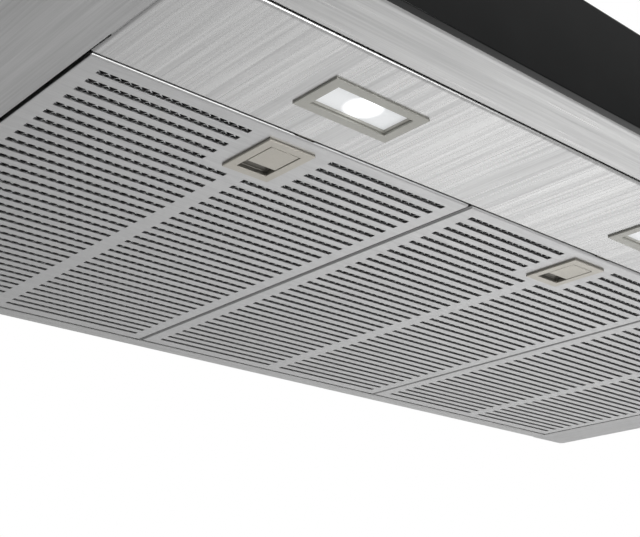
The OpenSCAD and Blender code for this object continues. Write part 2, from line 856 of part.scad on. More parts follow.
module led_driver() {
    color("white") difference() {
        union() {
            block([driver_x - 45, driver_y - 20, -24], [driver_x + 45, driver_y + 20, -sheet]);
            block([driver_x - 58, driver_y - 10, -sheet - 2], [driver_x + 58, driver_y + 10, -sheet]);
        }
        driver_stud_places() cylinder(h = 20, r = screw_hole_r, center = true);
    }
}

// One straight run of cable between two points, with a tie at its far end
module run(p, q, r) {
    d = q - p;
    len = norm(d);
    translate(p) rotate([0, acos(d[2] / len), atan2(d[1], d[0])]) cylinder(h = len, r = r);
}

module tie(p) {
    translate(p) sphere(r = loom_r + 0.5);
}

module wiring_loom() {
    a = [box_x + 22, trunk_y, trunk_z];
    b = [driver_x, trunk_y, trunk_z];
    c = [driver_x, drop_y, trunk_z];
    d = [driver_x, drop_y, lamp_wire_z];
    e = [driver_x, lamp_y, lamp_wire_z];
    motor_tee = [motor_l / 2 - 6, trunk_y, trunk_z];
    motor_drop = [motor_l / 2 - 6, trunk_y, blower_z];
    board = [0, board_y + board_t, lamp_wire_z];
    lamp_top = under_z + collar_up + module_h;
    color("black") {
        run(a, b, loom_r);
        run(b, [driver_x, driver_y + 20, trunk_z], loom_r);
        run([driver_x, driver_y - 20, trunk_z], c, loom_r);
        run(c, d, loom_r);
        run(d, e, loom_r);
        run([cell_x(0), lamp_y, lamp_wire_z], [cell_x(cells - 1), lamp_y, lamp_wire_z], loom_r);
        for (i = [0 : cells - 1]) run([cell_x(i), lamp_y, lamp_wire_z], [cell_x(i), lamp_y, lamp_top], 2);
        run([0, lamp_y, lamp_wire_z], board, 2);
        run(motor_tee, motor_drop, 2);
        run(motor_drop, [motor_drop[0], blower_y + motor_r, blower_z], 2);
        run([cap_x, trunk_y, trunk_z], [cap_x, cap_y + cap_l, trunk_z], 2);
        for (p = [b, c, d, e, motor_tee, motor_drop, [cap_x, trunk_y, trunk_z],
                  [0, lamp_y, lamp_wire_z], [cell_x(0), lamp_y, lamp_wire_z],
                  [cell_x(cells - 1), lamp_y, lamp_wire_z]]) tie(p);
    }
}

// ---- Fasteners ----

module stud_places() {
    for (side = [-1, 1], y = [-14, 14])
        translate([side * (cells * cell_w / 2 + 9), lamp_y + y, under_z + sheet]) children();
}

module bracket_stud_places() {
    for (x = [-18, 18], y = [-7, 21]) translate([x, blower_y + y, flange_z]) children();
}

module driver_stud_places() {
    for (x = [-52, 52]) translate([driver_x + x, driver_y, -sheet]) children();
}

// Welded stud and its nut, standing up from the origin, on material of thickness t
module stud(t) {
    cylinder(h = t + 4.5, r = screw_r);
    translate([0, 0, t]) cylinder(h = 3, r = 4, $fn = 6);
}

module pan_screw(len) {
    translate([0, 0, -len]) cylinder(h = len + 1, r = screw_r);
    cylinder(h = 2.2, r = 3.6);
}

module fasteners() {
    color("gainsboro") {
        stud_places() stud(sheet);
        bracket_stud_places() mirror([0, 0, 1]) stud(1.6);
        driver_stud_places() mirror([0, 0, 1]) stud(2);
        collar_screw_places() translate([0, 0, flange_z]) mirror([0, 0, 1]) pan_screw(flange_t + sheet - 0.1);
        cover_screw_places() translate([0, 0, -1]) mirror([0, 0, 1]) pan_screw(9);
    }
}

top_panel();
side_panel_left();
side_panel_right();
rear_panel();
front_rail();
light_panel();
hook_rail();
divider(0);  // divider_1
divider(1);  // divider_2
glass_fascia();
switch_board();
button(0);  // button_1
button(1);  // button_2
button(2);  // button_3
button(3);  // button_4
button(4);  // button_5
lamp_bezel(0);  // lamp_bezel_1
lamp_bezel(1);  // lamp_bezel_2
lamp_bezel(2);  // lamp_bezel_3
lamp_lens(0);  // lamp_lens_1
lamp_lens(1);  // lamp_lens_2
lamp_lens(2);  // lamp_lens_3
lamp_module(0);  // lamp_module_1
lamp_module(1);  // lamp_module_2
lamp_module(2);  // lamp_module_3
filter_face(0);  // filter_face_1
filter_face(1);  // filter_face_2
filter_face(2);  // filter_face_3
filter_mesh(0);  // filter_mesh_1
filter_mesh(1);  // filter_mesh_2
filter_mesh(2);  // filter_mesh_3
filter_back(0);  // filter_back_1
filter_back(1);  // filter_back_2
filter_back(2);  // filter_back_3
latch_bezel(0);  // latch_bezel_1
latch_bezel(1);  // latch_bezel_2
latch_bezel(2);  // latch_bezel_3
latch_slider(0);  // latch_slider_1
latch_slider(1);  // latch_slider_2
latch_slider(2);  // latch_slider_3
latch_spring(0);  // latch_spring_1
latch_spring(1);  // latch_spring_2
latch_spring(2);  // latch_spring_3
scroll_left();
scroll_right();
impeller_left();
impeller_right();
motor_case();
motor_stator();
fan_shaft();
motor_bracket();
capacitor();
duct_collar();
damper_flap();
junction_box();
junction_cover();
terminal_block();
led_driver();
wiring_loom();
fasteners();
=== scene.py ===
import json
import math

import bpy
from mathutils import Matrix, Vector


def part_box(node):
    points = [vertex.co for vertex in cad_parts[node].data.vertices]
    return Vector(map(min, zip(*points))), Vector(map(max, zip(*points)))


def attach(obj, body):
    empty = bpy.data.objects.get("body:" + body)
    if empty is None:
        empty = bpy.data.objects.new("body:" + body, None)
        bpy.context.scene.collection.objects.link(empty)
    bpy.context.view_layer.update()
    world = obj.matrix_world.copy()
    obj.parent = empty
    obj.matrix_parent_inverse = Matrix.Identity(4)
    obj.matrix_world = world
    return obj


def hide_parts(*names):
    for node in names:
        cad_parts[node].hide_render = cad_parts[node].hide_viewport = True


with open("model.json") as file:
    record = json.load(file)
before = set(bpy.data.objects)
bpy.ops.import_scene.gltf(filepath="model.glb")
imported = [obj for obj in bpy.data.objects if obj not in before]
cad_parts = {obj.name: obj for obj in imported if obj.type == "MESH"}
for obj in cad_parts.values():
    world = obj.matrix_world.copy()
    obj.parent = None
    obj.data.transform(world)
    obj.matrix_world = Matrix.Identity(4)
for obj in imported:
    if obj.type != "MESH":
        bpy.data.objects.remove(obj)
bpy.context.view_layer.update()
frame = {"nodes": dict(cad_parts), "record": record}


# ---- Folded steel shell ----
# The top, sides, rear, front rail and light panel are stainless sheet with a brushed face, cut,
# folded on a press brake and spot-welded. Each is taken from its drawing with its edges eased.

EASE = 0.0003
RAIL_EASE = 0.0007
PANEL_EASE = 0.0005
MERGE_WITHIN = 0.000005
FLAT_ANGLE = math.radians(0.6)
SHARP_ANGLE = math.radians(35)
BROAD_STROKES = 0.3
HANDLING = (6, 6, 6)
GRAIN_RELIEF = 0.00003


def leave_edit():
    """Ends edit mode and drops every selection, so that the next operator acts on one piece only."""
    if bpy.context.mode != "OBJECT":
        bpy.ops.object.mode_set(mode="OBJECT")
    bpy.ops.object.select_all(action="DESELECT")


def take(obj):
    """Makes one object the only one selected, and the active one."""
    leave_edit()
    obj.select_set(True)
    bpy.context.view_layer.objects.active = obj


def edit_all(obj):
    """Opens one object in edit mode with all of its mesh selected."""
    take(obj)
    bpy.ops.object.mode_set(mode="EDIT")
    bpy.ops.mesh.select_all(action="SELECT")


def apply_modifiers(obj):
    take(obj)
    for modifier in list(obj.modifiers):
        bpy.ops.object.modifier_apply(modifier=modifier.name)


def dress(obj, material):
    """Gives an object one material in place of any it has."""
    obj.data.materials.clear()
    obj.data.materials.append(material)


def body_of(node):
    """The name of the moving or fixed body that a drawn part belongs to."""
    for body, nodes in frame["record"]["behaviour"]["bodies"].items():
        if node in nodes:
            return body
    raise KeyError(node)


def place(piece, node, material):
    """Gives a finished piece its material, joins it to its drawn part's body, and hides the drawn part.
    """
    dress(piece, material)
    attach(piece, body_of(node))
    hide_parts(node)


def ease_edges(piece, width, segments, clamp=False):
    """Rounds a piece's sharp edges by a small radius, and keeps its flat faces flat."""
    bevel = piece.modifiers.new("eased edges", "BEVEL")
    bevel.width = width
    bevel.segments = segments
    bevel.limit_method = "ANGLE"
    bevel.angle_limit = SHARP_ANGLE
    bevel.use_clamp_overlap = clamp
    bevel.miter_outer = "MITER_SHARP"
    apply_modifiers(piece)
    take(piece)
    bpy.ops.object.shade_smooth_by_angle(angle=SHARP_ANGLE)
    flat = piece.modifiers.new("flat faces", "WEIGHTED_NORMAL")
    flat.weight = 100
    flat.keep_sharp = True
    apply_modifiers(piece)


def drawn_copy(node):
    """A copy of a drawn part, its loose triangles merged back into whole faces."""
    take(frame["nodes"][node])
    bpy.ops.object.duplicate()
    piece = bpy.context.view_layer.objects.active
    piece.name = piece.data.name = node.replace("_", "-") + "-eased"
    edit_all(piece)
    bpy.ops.mesh.remove_doubles(threshold=MERGE_WITHIN)
    bpy.ops.mesh.dissolve_limited(angle_limit=FLAT_ANGLE)
    leave_edit()
    return piece


def eased(node, material, width=EASE, segments=2, clamp=False):
    """A copy of a drawn part with its sharp edges eased by a small radius."""
    piece = drawn_copy(node)
    ease_edges(piece, width, segments, clamp)
    place(piece, node, material)
    return piece


def blank_material(name):
    """A new material, and the parts of its node tree that every finish uses."""
    material = bpy.data.materials.new(name)
    material.use_nodes = True
    tree = material.node_tree
    shader = tree.nodes["Principled BSDF"]
    where = tree.nodes.new("ShaderNodeTexCoord").outputs["Object"]
    return material, tree, shader, where


def grain_noise(tree, where, scale, detail=3.0, roughness=0.55):
    """Noise stretched by a different scale along X, Y and Z: long along the smallest of the three."""
    mapping = tree.nodes.new("ShaderNodeMapping")
    mapping.inputs["Scale"].default_value = scale
    tree.links.new(where, mapping.inputs["Vector"])
    noise = tree.nodes.new("ShaderNodeTexNoise")
    noise.inputs["Scale"].default_value = 1.0
    noise.inputs["Detail"].default_value = detail
    noise.inputs["Roughness"].default_value = roughness
    tree.links.new(mapping.outputs["Vector"], noise.inputs["Vector"])
    return noise.outputs["Fac"]


def spread(tree, value, low, high, from_low=0.3, from_high=0.7):
    """Maps one range of values onto another, and holds it at the ends."""
    ranged = tree.nodes.new("ShaderNodeMapRange")
    ranged.inputs["From Min"].default_value = from_low
    ranged.inputs["From Max"].default_value = from_high
    ranged.inputs["To Min"].default_value = low
    ranged.inputs["To Max"].default_value = high
    tree.links.new(value, ranged.inputs["Value"])
    return ranged.outputs["Result"]


def mixed(tree, fac, low, high):
    """A colour between two, by a value from 0 to 1."""
    mix = tree.nodes.new("ShaderNodeMix")
    mix.data_type = "RGBA"
    mix.inputs["A"].default_value = (*low, 1)
    mix.inputs["B"].default_value = (*high, 1)
    tree.links.new(fac, mix.inputs["Factor"])
    return mix.outputs["Result"]


def product(tree, first, second):
    """Two values multiplied together."""
    multiply = tree.nodes.new("ShaderNodeMath")
    multiply.operation = "MULTIPLY"
    tree.links.new(first, multiply.inputs[0])
    tree.links.new(second, multiply.inputs[1])
    return multiply.outputs["Value"]


def bumped(tree, shader, height, strength, distance):
    """Gives a surface fine relief that follows a value."""
    bump = tree.nodes.new("ShaderNodeBump")
    bump.inputs["Strength"].default_value = strength
    bump.inputs["Distance"].default_value = distance
    tree.links.new(height, bump.inputs["Height"])
    tree.links.new(bump.outputs["Normal"], shader.inputs["Normal"])


def brushed_metal(name, dark, light, grain, rough, bump=0.05, cloud_low=0.9):
    """Metal with fine and broader strokes of a directional grain, and faint clouding from handling."""
    material, tree, shader, where = blank_material(name)
    fine = grain_noise(tree, where, grain, detail=2.0, roughness=0.6)
    broad_grain = [scale * BROAD_STROKES for scale in grain]
    broad = grain_noise(tree, where, broad_grain, detail=3.0, roughness=0.6)
    cloud = grain_noise(tree, where, HANDLING, detail=1.0)
    strokes = tree.nodes.new("ShaderNodeMath")
    strokes.operation = "MULTIPLY_ADD"
    strokes.inputs[1].default_value = 0.5
    tree.links.new(fine, strokes.inputs[0])
    half = tree.nodes.new("ShaderNodeMath")
    half.operation = "MULTIPLY"
    half.inputs[1].default_value = 0.5
    tree.links.new(broad, half.inputs[0])
    tree.links.new(half.outputs["Value"], strokes.inputs[2])
    grain_value = strokes.outputs["Value"]
    tint = product(tree, spread(tree, grain_value, 0.0, 1.0), spread(tree, cloud, cloud_low, 1.0))
    tree.links.new(mixed(tree, tint, dark, light), shader.inputs["Base Color"])
    tree.links.new(spread(tree, grain_value, rough + 0.05, rough - 0.04), shader.inputs["Roughness"])
    bumped(tree, shader, grain_value, bump, GRAIN_RELIEF)
    shader.inputs["Metallic"].default_value = 1.0
    return material


shell_steel = brushed_metal("steel brushed along the hood", (0.40, 0.40, 0.40), (0.56, 0.56, 0.555),
                            (16, 900, 900), 0.30)
lamp_panel_steel = brushed_metal("steel brushed front to back", (0.42, 0.42, 0.42),
                                 (0.645, 0.645, 0.64), (600, 8, 600), 0.27)
side_steel = brushed_metal("steel brushed along the side", (0.38, 0.38, 0.38), (0.50, 0.50, 0.50),
                           (900, 16, 900), 0.34)

eased("top_panel", shell_steel)
eased("rear_panel", shell_steel, clamp=True)
eased("front_rail", shell_steel, width=RAIL_EASE, segments=3)
eased("light_panel", lamp_panel_steel, width=PANEL_EASE, segments=3)
for side in ("left", "right"):
    eased("side_panel_" + side, side_steel)


# ---- Grease filters ----
# Each filter is a tray folded from slotted sheet, with two hooks at its rear, and holds a pack of
# expanded aluminium in a crimped rim under a galvanised back frame; its upper sheets are darkened
# as painted shade. A steel bar fills each gap between two filters, its colour darkened as painted
# shade in the gap.

FILTERS = (1, 2, 3)
DIVIDERS = (1, 2)
FILTER_PITCH = 0.270
TRAY_LOW = (-0.13325, -0.1299)
TRAY_HIGH = (0.13325, 0.2365)
FACE_Z = -0.180
TRAY_HEIGHT = 0.013
TRAY_SHEET = 0.001
TRAY_EASE = 0.00012
BEND = 0.0018
SIDE_BEND_SHARE = 0.35
SLOT_ROWS = 34
SHORT_ROWS = 5
SLOT_PITCH = 0.01034
SLOT_WIDTH = 0.0042
FIRST_SLOT = 0.0119
SLOT_OUTER = 0.12285
SPINE_HALF = 0.00605
SHORT_INNER = 0.0285
SLOT_CORNER = 0.0006
LATCH_HOLE = (-0.0122, -0.1156, 0.0122, -0.0812)
TONGUE_NOTCH = 0.007
TONGUE_Z = (-0.179, -0.1758)
CLOSE = 0.00001


def middle_and_run(mesh, edge):
    """An edge's middle point, and the way from its one end to the other."""
    start, end = [mesh.vertices[index].co for index in edge.vertices]
    return (start + end) / 2, end - start


def pick(piece, kind, wanted):
    """Selects only those faces, edges or points of a piece whose middle is wanted, in edit mode."""
    take(piece)
    mesh = piece.data
    bpy.context.tool_settings.mesh_select_mode = (kind == "VERT", kind == "EDGE", kind == "FACE")
    for group in (mesh.vertices, mesh.edges, mesh.polygons):
        for item in group:
            item.select = False
    if kind == "VERT":
        for point in mesh.vertices:
            point.select = wanted(point.co)
    elif kind == "EDGE":
        for edge in mesh.edges:
            edge.select = wanted(*middle_and_run(mesh, edge))
    else:
        for face in mesh.polygons:
            face.select = wanted(face.center)
    bpy.ops.object.mode_set(mode="EDIT")


def cut_out(piece, wanted):
    """Removes those faces of a piece whose middle is wanted."""
    pick(piece, "FACE", wanted)
    bpy.ops.mesh.delete(type="FACE")
    leave_edit()


def along(axis, value):
    """A vector that has a value along one axis and nothing along the other two."""
    return [value if k == axis else 0 for k in range(3)]


def cut_along(piece, axis, places):
    """Cuts a piece right through at each place along an axis."""
    take(piece)
    bpy.ops.object.mode_set(mode="EDIT")
    for value in places:
        bpy.ops.mesh.select_all(action="SELECT")
        bpy.ops.mesh.bisect(plane_co=along(axis, value), plane_no=along(axis, 1), threshold=CLOSE / 4)
    leave_edit()


def trim(piece, axis, value, side, fill=False):
    """Cuts away all of a piece that lies beyond a plane: side is 1 for above it, -1 for below."""
    edit_all(piece)
    bpy.ops.mesh.bisect(plane_co=along(axis, value), plane_no=along(axis, side),
                        clear_outer=True, use_fill=fill, threshold=CLOSE / 4)
    leave_edit()


def flat_sheet(name, low, high, z):
    """A flat rectangle facing down, with its corners at low and high."""
    leave_edit()
    centre = ((low[0] + high[0]) / 2, (low[1] + high[1]) / 2, z)
    bpy.ops.mesh.primitive_plane_add(size=1, location=centre)
    piece = bpy.context.view_layer.objects.active
    piece.name = piece.data.name = name
    piece.scale = (high[0] - low[0], high[1] - low[1], 1)
    bpy.ops.object.transform_apply(location=True, rotation=True, scale=True)
    edit_all(piece)
    bpy.ops.mesh.flip_normals()
    leave_edit()
    return piece


def thicken(piece, thickness, offset=-1.0):
    """Gives a flat or folded sheet its thickness, on its inner side unless offset says otherwise."""
    solid = piece.modifiers.new("thickness", "SOLIDIFY")
    solid.thickness = thickness
    solid.offset = offset
    solid.use_even_offset = True
    apply_modifiers(piece)


def joined(pieces):
    """Several pieces made into one, under the first one's name."""
    leave_edit()
    for piece in pieces:
        piece.select_set(True)
    bpy.context.view_layer.objects.active = pieces[0]
    bpy.ops.object.join()
    return pieces[0]


def row_middle(row):
    """How far back the middle of a row of slots is."""
    return TRAY_LOW[1] + FIRST_SLOT + row * SLOT_PITCH


def slot_row(y):
    """The number of the row of slots at y, or None between rows."""
    row = round((y - TRAY_LOW[1] - FIRST_SLOT) / SLOT_PITCH)
    inside = 0 <= row < SLOT_ROWS and abs(y - row_middle(row)) < SLOT_WIDTH / 2 + CLOSE
    return row if inside else None


def slot_inner(row):
    """Where a slot starts beside the spine: the front rows are shorter, to clear the latch."""
    return SHORT_INNER if row < SHORT_ROWS else SPINE_HALF


def in_slot(middle):
    """Whether a point of the tray's face falls in a slot."""
    row = slot_row(middle[1])
    return row is not None and slot_inner(row) < abs(middle[0]) < SLOT_OUTER


def in_latch_hole(middle):
    """Whether a point of the tray's face falls in the hole for the latch."""
    return LATCH_HOLE[0] < middle[0] < LATCH_HOLE[2] and LATCH_HOLE[1] < middle[1] < LATCH_HOLE[3]


def at_slot_corner(point):
    """Whether a point of the tray's face is one of a slot's four corners."""
    row = slot_row(point[1])
    if row is None:
        return False
    on_end = min(abs(abs(point[0]) - SLOT_OUTER), abs(abs(point[0]) - slot_inner(row))) < CLOSE
    return on_end and abs(abs(point[1] - row_middle(row)) - SLOT_WIDTH / 2) < CLOSE


def on_outline(middle):
    """Whether a point is on one of the four lines round the tray, seen from below."""
    return (min(abs(middle[0] - TRAY_LOW[0]), abs(middle[0] - TRAY_HIGH[0])) < CLOSE
            or min(abs(middle[1] - TRAY_LOW[1]), abs(middle[1] - TRAY_HIGH[1])) < CLOSE)


def along_outline(middle, run):
    """Whether an edge is on the tray's outline and runs straight along it."""
    return on_outline(middle) and (abs(run[0]) < CLOSE or abs(run[1]) < CLOSE)


def in_tongue_notch(middle):
    """Whether a point of the front fold falls in the notch that the latch's tongue comes through."""
    return (abs(middle[0]) < TONGUE_NOTCH and middle[1] < TRAY_LOW[1] + BEND
            and TONGUE_Z[0] < middle[2] < TONGUE_Z[1])


def slotted_tray():
    """The middle filter's tray: punched, folded up on four sides, bent and given its thickness."""
    tray = flat_sheet("slotted-tray", TRAY_LOW, TRAY_HIGH, FACE_Z)
    row_edges = [row_middle(row) + side * SLOT_WIDTH / 2 for row in range(SLOT_ROWS) for side in (-1, 1)]
    cut_along(tray, 1, row_edges + [LATCH_HOLE[1], LATCH_HOLE[3]])
    cut_along(tray, 0, [side * x for side in (-1, 1)
                        for x in (SPINE_HALF, TONGUE_NOTCH, LATCH_HOLE[2], SHORT_INNER, SLOT_OUTER)])
    cut_out(tray, lambda middle: in_slot(middle) or in_latch_hole(middle))
    pick(tray, "VERT", at_slot_corner)
    bpy.ops.mesh.bevel(offset=SLOT_CORNER, segments=2, affect="VERTICES")
    pick(tray, "EDGE", along_outline)
    bpy.ops.mesh.extrude_region_move(TRANSFORM_OT_translate={"value": (0, 0, TRAY_HEIGHT)})
    leave_edit()
    weights = tray.data.attributes.new("bevel_weight_edge", "FLOAT", "EDGE")
    for edge in tray.data.edges:
        middle, run = middle_and_run(tray.data, edge)
        if abs(middle[2] - FACE_Z) < CLOSE and on_outline(middle):
            weights.data[edge.index].value = 1.0 if abs(run[0]) > abs(run[1]) else SIDE_BEND_SHARE
        elif abs(run[2]) > CLOSE and on_outline((middle[0], 0, 0)) and on_outline((0, middle[1], 0)):
            weights.data[edge.index].value = SIDE_BEND_SHARE
    bend = tray.modifiers.new("bends", "BEVEL")
    bend.width = BEND
    bend.segments = 5
    bend.limit_method = "WEIGHT"
    bend.use_clamp_overlap = False
    apply_modifiers(tray)
    cut_along(tray, 2, TONGUE_Z)
    cut_out(tray, in_tongue_notch)
    thicken(tray, TRAY_SHEET)
    hooks = drawn_copy("filter_face_2")
    trim(hooks, 1, TRAY_HIGH[1] + 2 * CLOSE, -1, fill=True)
    joined([tray, hooks])
    ease_edges(tray, TRAY_EASE, 1)
    return tray


def copy_beside(piece, name, shift):
    """A copy of a piece, with a mesh of its own, moved along the hood."""
    take(piece)
    bpy.ops.object.duplicate()
    other = bpy.context.view_layer.objects.active
    other.name = other.data.name = name
    other.location = (shift, 0, 0)
    bpy.ops.object.transform_apply(location=True, rotation=False, scale=False)
    return other


def for_each_filter(piece, name, node, material):
    """Names the middle filter's piece, copies it for the other two, and places all three."""
    for number in FILTERS:
        one = copy_beside(piece, f"{name}-{number}", (number - 2) * FILTER_PITCH)
        place(one, f"{node}_{number}", material)
    take(piece)
    bpy.ops.object.delete()


filter_satin = brushed_metal("fine satin steel", (0.475, 0.475, 0.475), (0.55, 0.55, 0.55),
                             (60, 700, 700), 0.36, bump=0.03)
galvanised = brushed_metal("galvanised sheet", (0.42, 0.44, 0.46), (0.56, 0.58, 0.60),
                           (90, 90, 90), 0.42, bump=0.1)
strand_metal = brushed_metal("expanded aluminium", (0.36, 0.36, 0.36), (0.54, 0.54, 0.55),
                             (300, 300, 300), 0.38, bump=0.1)
# Painted shade: the upper sheets are the same aluminium given a near-black colour, standing in for the
# shade above the lit lower sheet.
shadowed_inner_strands = brushed_metal("expanded aluminium darkened as painted shade", (0.05, 0.05, 0.05), (0.09, 0.09, 0.09),
                              (300, 300, 300), 0.5, bump=0.1)
for_each_filter(slotted_tray(), "filter-tray", "filter_face", filter_satin)

PACK_LOW = (-0.13165, -0.1283)
PACK_HIGH = (0.13165, 0.2349)
PACK_Z = (-0.1788, -0.1692)
RIM = 0.002
RIM_EASE = 0.0003
FINE_CELL = (0.0061, 0.0052)
COARSE_CELL = (0.0092, 0.0074)
STRAND = 0.00026
STRAND_TALL = 0.0006
FINE_Z = -0.1785
COARSE_Z = (-0.1742, -0.1712)
HOUSE_HALF = 0.0135
HOUSE_FRONT = -0.1169
HOUSE_REAR = -0.0799
CHANNEL_HALF = 0.0085


def in_latch_space(middle):
    """Whether a point of the pack falls in the space cut out for the latch and its tongue."""
    return (abs(middle[0]) < HOUSE_HALF and HOUSE_FRONT < middle[1] < HOUSE_REAR
            or abs(middle[0]) < CHANNEL_HALF and middle[1] < HOUSE_REAR)


def hollow_out(piece, border):
    """Cuts the middle out of a flat piece, and leaves a border all round."""
    edit_all(piece)
    bpy.ops.mesh.inset(thickness=border)
    bpy.ops.mesh.delete(type="FACE")
    leave_edit()


def repeat(piece, step, count):
    """Repeats a piece in a row, each copy one step further on."""
    row = piece.modifiers.new("row", "ARRAY")
    row.use_relative_offset = False
    row.use_constant_offset = True
    row.constant_offset_displace = step
    row.count = count


def expanded_sheet(name, cell, z):
    """Expanded metal: diamonds slit and stretched from one sheet, with strands stood on edge."""
    leave_edit()
    bpy.ops.mesh.primitive_circle_add(vertices=4, radius=0.5, fill_type="NGON",
                                      location=(PACK_LOW[0], PACK_LOW[1], z))
    piece = bpy.context.view_layer.objects.active
    piece.name = piece.data.name = name
    piece.scale = (cell[0], cell[1], 1)
    bpy.ops.object.transform_apply(location=True, rotation=True, scale=True)
    hollow_out(piece, STRAND)
    for axis in (0, 1):
        cells = math.ceil((PACK_HIGH[axis] - PACK_LOW[axis]) / cell[axis]) + 1
        repeat(piece, along(axis, cell[axis]), cells)
    repeat(piece, (cell[0] / 2, cell[1] / 2, 0), 2)
    apply_modifiers(piece)
    edit_all(piece)
    bpy.ops.mesh.remove_doubles(threshold=CLOSE)
    leave_edit()
    for axis in (0, 1):
        trim(piece, axis, PACK_LOW[axis] + RIM / 2, -1)
        trim(piece, axis, PACK_HIGH[axis] - RIM / 2, 1)
    cut_out(piece, in_latch_space)
    thicken(piece, STRAND_TALL, offset=0.0)
    return piece


def pack_rim():
    """Rim crimped round the sheets, cut away where the latch's tongue passes."""
    rim = flat_sheet("pack-rim", PACK_LOW, PACK_HIGH, PACK_Z[0])
    hollow_out(rim, RIM)
    cut_along(rim, 0, (-CHANNEL_HALF, CHANNEL_HALF))
    cut_out(rim, in_latch_space)
    thicken(rim, PACK_Z[1] - PACK_Z[0])
    ease_edges(rim, RIM_EASE, 2)
    return rim


for_each_filter(joined([pack_rim(), expanded_sheet("fine", FINE_CELL, FINE_Z)]),
                "filter-pack-lower", "filter_mesh", strand_metal)
for_each_filter(joined([expanded_sheet("coarse", COARSE_CELL, z) for z in COARSE_Z]),
                "filter-pack-upper", "filter_mesh", shadowed_inner_strands)
for number in FILTERS:
    dress(frame["nodes"][f"filter_back_{number}"], galvanised)
dress(frame["nodes"]["hook_rail"], galvanised)
# Painted shade: the divider bars get a near-black steel colour that stands in for the shade in the
# recessed gap between filters.
divider_steel_darkened_as_shade = brushed_metal("steel darkened as painted gap shade", (0.13, 0.13, 0.13), (0.18, 0.18, 0.18),
                           (700, 30, 700), 0.45)
for number in DIVIDERS:
    dress(frame["nodes"][f"divider_{number}"], divider_steel_darkened_as_shade)


# ---- Latches ----
# A champagne moulding set in each filter: a raised bezel round a recess, and a sliding face that
# a fingertip in the pocket behind it draws back against a small coil spring.

LATCH_EASE = 0.0004
SLIDER_EASE = 0.0003
UNEVEN_COLOUR = (30, 30, 30)
MOULD_RELIEF = 0.00004


def moulded(name, dark, light, rough, grain=900, bump=0.15, coat=0.0):
    """Moulded or painted surface: fine texture in gloss and relief, with faint uneven colour."""
    material, tree, shader, where = blank_material(name)
    fine = grain_noise(tree, where, (grain, grain, grain), detail=3.0)
    broad = grain_noise(tree, where, UNEVEN_COLOUR, detail=2.0)
    tree.links.new(mixed(tree, spread(tree, broad, 0.0, 1.0), dark, light), shader.inputs["Base Color"])
    tree.links.new(spread(tree, fine, rough - 0.05, rough + 0.07), shader.inputs["Roughness"])
    bumped(tree, shader, fine, bump, MOULD_RELIEF)
    shader.inputs["Coat Weight"].default_value = coat
    return material


# Heights between which the latch's colour is darkened as painted recess shade, and how dark it gets.
RECESS_Z = (-0.1810, -0.1785)
RECESS_SHADE = 0.35


def champagne_with_painted_recess_shade():
    """Champagne satin whose colour is darkened as painted shade on its walls and down in the recess."""
    material = moulded("champagne satin", (0.44, 0.42, 0.375), (0.49, 0.465, 0.415), 0.36)
    tree = material.node_tree
    shader = tree.nodes["Principled BSDF"]
    shader.inputs["Metallic"].default_value = 0.85
    colour = shader.inputs["Base Color"].links[0].from_socket
    apart = tree.nodes.new("ShaderNodeSeparateXYZ")
    tree.links.new(tree.nodes.new("ShaderNodeTexCoord").outputs["Object"], apart.inputs["Vector"])
    # Painted shade: the colour is scaled down with height, from full at the bezel face to RECESS_SHADE
    # deep in the recess.
    painted_recess_shade = spread(tree, apart.outputs["Z"], 1.0, RECESS_SHADE,
                   from_low=RECESS_Z[0], from_high=RECESS_Z[1])
    shaded = tree.nodes.new("ShaderNodeVectorMath")
    shaded.operation = "SCALE"
    tree.links.new(colour, shaded.inputs[0])
    tree.links.new(painted_recess_shade, shaded.inputs["Scale"])
    tree.links.new(shaded.outputs["Vector"], shader.inputs["Base Color"])
    return material


champagne = champagne_with_painted_recess_shade()
spring_steel = brushed_metal("bright spring steel", (0.55, 0.56, 0.57), (0.70, 0.71, 0.72),
                             (400, 400, 400), 0.25, bump=0.1)
for number in FILTERS:
    eased(f"latch_bezel_{number}", champagne, width=LATCH_EASE, segments=3)
    eased(f"latch_slider_{number}", champagne, width=SLIDER_EASE, segments=3)
    dress(frame["nodes"][f"latch_spring_{number}"], spring_steel)


# ---- Lamps ----
# Three low rectangular lamps, each a painted bezel clipped through the light panel, a frosted
# lens a little way up inside it, and a light source with a finned back.

bezel_paint = moulded("warm grey satin paint", (0.40, 0.395, 0.36), (0.44, 0.435, 0.40), 0.38)
bezel_paint.node_tree.nodes["Principled BSDF"].inputs["Metallic"].default_value = 0.35
heat_sink = brushed_metal("extruded aluminium", (0.30, 0.31, 0.32), (0.42, 0.43, 0.44),
                          (300, 9, 300), 0.45)

SPOT_SHIFT = 0.001
SPOT_RADIUS = 0.007
SPOT_FADED = 0.012
SPOT_GLOW = 1.3
LENS_GLOW = 0.42
LENS_EASE = 0.0004
MODULE_EASE = 0.00015


def lit_lens(node):
    """Frosted glass lit from behind, brightest in a round spot over its light source."""
    low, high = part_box(node)
    centre = [(a + b) / 2 for a, b in zip(low, high)]
    material, tree, shader, where = blank_material("frosted lens " + node[-1])
    mapping = tree.nodes.new("ShaderNodeMapping")
    mapping.inputs["Location"].default_value = (-centre[0] - SPOT_SHIFT, -centre[1], -centre[2])
    tree.links.new(where, mapping.inputs["Vector"])
    reach = tree.nodes.new("ShaderNodeVectorMath")
    reach.operation = "LENGTH"
    tree.links.new(mapping.outputs["Vector"], reach.inputs[0])
    glow = spread(tree, reach.outputs["Value"], SPOT_GLOW, LENS_GLOW,
                  from_low=SPOT_RADIUS, from_high=SPOT_FADED)
    tree.links.new(glow, shader.inputs["Emission Strength"])
    shader.inputs["Emission Color"].default_value = (0.97, 0.985, 1.0, 1)
    frost = grain_noise(tree, where, (900, 900, 900), detail=2.0)
    tree.links.new(spread(tree, frost, 0.4, 0.6), shader.inputs["Roughness"])
    glass = mixed(tree, frost, (0.52, 0.53, 0.535), (0.57, 0.58, 0.585))
    tree.links.new(glass, shader.inputs["Base Color"])
    return material


BEZEL_EASE = 0.00025
LIP_OVERLAP = 0.0001
LIP_WIDTH = 0.0010
LIP_Z = (-0.1799, -0.1783)


